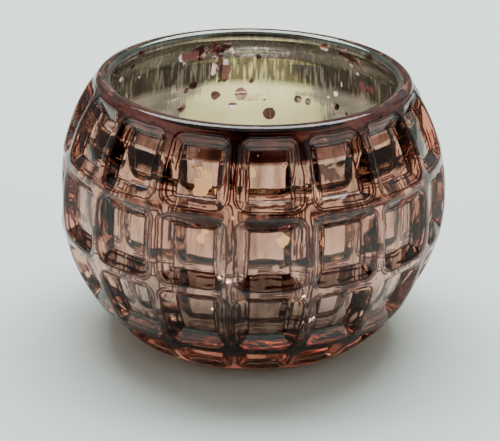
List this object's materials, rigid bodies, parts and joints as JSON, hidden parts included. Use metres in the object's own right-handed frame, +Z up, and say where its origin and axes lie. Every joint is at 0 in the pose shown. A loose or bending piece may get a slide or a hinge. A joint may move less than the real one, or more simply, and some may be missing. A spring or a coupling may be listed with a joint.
{
  "type": "tealight holder",
  "caption": "Round pressed-glass tealight holder with a waffle of sunk cells and an antiqued silver lining, holding a lift-out tealight candle.",
  "frame": {"origin": "middle of the foot, on the surface that the bowl stands on", "axes": "+Z up along the axis that the bowl and the candle are turned about; the pictured side faces -Y"},
  "size_m": [0.0878, 0.0878, 0.0598],
  "materials": {
    "rose_glass": "clear pressed glass with a rose tint, fire-polished",
    "antique_silver": "antiqued silver coat with flakes missing",
    "aluminium": "thin drawn foil, bright",
    "cream_wax": null,
    "waxed_cotton": "braided cotton wick soaked in wax",
    "tin": "tinned steel sheet"
  },
  "bodies": {
    "bowl": {"glass_bowl": "rose_glass", "silver_lining": "antique_silver"},
    "tealight": {"tealight_cup": "aluminium"},
    "candle": {"tealight_wax": "cream_wax", "wick": "waxed_cotton", "wick_sustainer": "tin"}
  },
  "joints": [
    {"name": "tealight_lift", "type": "slide", "parent": "bowl", "child": "tealight", "axis": [0, 0, 1], "range_m": [0, 0.07]},
    {"name": "candle_lift", "type": "slide", "parent": "tealight", "child": "candle", "axis": [0, 0, 1], "range_m": [0, 0.018]}
  ]
}
